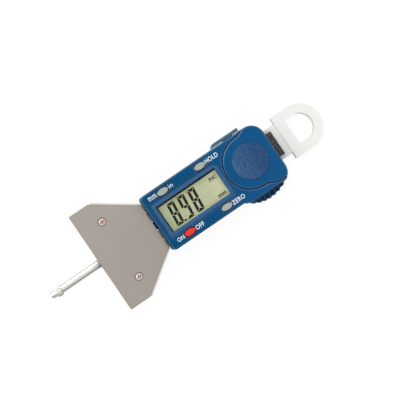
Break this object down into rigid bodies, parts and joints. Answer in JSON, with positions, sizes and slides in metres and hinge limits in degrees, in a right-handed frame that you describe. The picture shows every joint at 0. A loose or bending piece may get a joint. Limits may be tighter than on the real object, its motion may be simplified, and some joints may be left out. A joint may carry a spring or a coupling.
{
  "type": "digital depth gauge",
  "caption": "Handheld digital depth gauge: wide measuring base, thin rod through it, LCD housing with oval keys and a thumb lug, sliding beam with a D-shaped pull ring.",
  "frame": {"origin": "below the middle of the gauge's box, on the plane of its back", "axes": "+X along the rod, from the contact point towards the pull ring; +Y towards the side with the port cover; +Z out of the display"},
  "size_m": [0.1618, 0.0554, 0.015],
  "materials": {
    "blue_abs": "dark blue moulded plastic with a fine grain",
    "bezel_blue": "lighter blue plastic with a satin face",
    "ground_steel": "warm grey satin steel",
    "base_steel": "ground stainless steel",
    "brass": "yellow-plated countersunk screws",
    "bronze": "bronze bush and leaves",
    "rod_steel": "polished hard steel",
    "screw_steel": "bright zinc-plated steel",
    "light_plastic": "off-white filled plastic",
    "scale_black": "black-brown speckled laminate",
    "clear_acrylic": "clear acrylic window",
    "lcd_sage": "sage green LCD with black digits",
    "white_plastic": "white moulded plastic and ceramic",
    "zebra_rubber": "layered silicone rubber",
    "board_green": "green solder mask",
    "resin_black": "black potting resin",
    "grey_rubber": "warm light grey rubber",
    "red_rubber": "bright red rubber",
    "gold": "gilt contact pads",
    "cell_steel": "nickel-plated can"
  },
  "bodies": {
    "gauge_body": {"front_housing": "blue_abs", "rear_housing": "blue_abs", "display_bezel": "bezel_blue", "base_front_plate": "ground_steel", "base_body": "base_steel", "base_screw_1": "brass", "base_screw_2": "brass", "rod_bush": "bronze", "gib_strip": "bronze", "battery_contact_negative": "bronze", "battery_contact_positive": "bronze", "housing_screw_1": "screw_steel", "housing_screw_2": "screw_steel", "housing_screw_3": "screw_steel", "housing_screw_4": "screw_steel", "board_screw_1": "screw_steel", "board_screw_2": "screw_steel", "board_screw_3": "screw_steel", "board_screw_4": "screw_steel", "display_lens": "clear_acrylic", "lcd_glass": "lcd_sage", "lcd_holder": "white_plastic", "board_capacitor_1": "white_plastic", "board_capacitor_2": "white_plastic", "zebra_strip_1": "zebra_rubber", "zebra_strip_2": "zebra_rubber", "main_board": "board_green", "controller_chip": "resin_black", "port_contact_1": "gold", "port_contact_2": "gold", "port_contact_3": "gold", "port_contact_4": "gold", "battery": "cell_steel", "watch_crystal": "cell_steel", "snap_dome_1": "cell_steel", "snap_dome_2": "cell_steel", "snap_dome_3": "cell_steel", "snap_dome_4": "cell_steel"},
    "slider": {"measuring_rod": "rod_steel", "contact_point": "rod_steel", "rod_block": "screw_steel", "block_pin_1": "screw_steel", "block_pin_2": "screw_steel", "beam": "light_plastic", "scale_strip": "scale_black", "pull_ring": "light_plastic", "ring_screw_1": "screw_steel", "ring_screw_2": "screw_steel"},
    "battery_cover": {"battery_cover": "blue_abs"},
    "port_cover": {"port_cover": "blue_abs"},
    "key_mm_in": {"button_mm_in": "grey_rubber"},
    "key_hold": {"button_hold": "grey_rubber"},
    "key_power": {"button_power": "red_rubber"},
    "key_zero": {"button_zero": "grey_rubber"}
  },
  "joints": [
    {"name": "measure", "type": "slide", "parent": "gauge_body", "child": "slider", "axis": [1, 0, 0], "range_m": [-0.001, 0.0289]},
    {"name": "battery_cover_slide", "type": "slide", "parent": "gauge_body", "child": "battery_cover", "axis": [1, 0, 0], "range_m": [0, 0.03]},
    {"name": "port_cover_slide", "type": "slide", "parent": "gauge_body", "child": "port_cover", "axis": [-1, 0, 0], "range_m": [0, 0.012]},
    {"name": "press_mm_in", "type": "slide", "parent": "gauge_body", "child": "key_mm_in", "axis": [0, 0, -1], "range_m": [0, 0.0005], "stiffness_N_per_m": 2000},
    {"name": "press_hold", "type": "slide", "parent": "gauge_body", "child": "key_hold", "axis": [0, 0, -1], "range_m": [0, 0.0005], "stiffness_N_per_m": 2000},
    {"name": "press_power", "type": "slide", "parent": "gauge_body", "child": "key_power", "axis": [0, 0, -1], "range_m": [0, 0.0005], "stiffness_N_per_m": 2000},
    {"name": "press_zero", "type": "slide", "parent": "gauge_body", "child": "key_zero", "axis": [0, 0, -1], "range_m": [0, 0.0005], "stiffness_N_per_m": 2000}
  ]
}
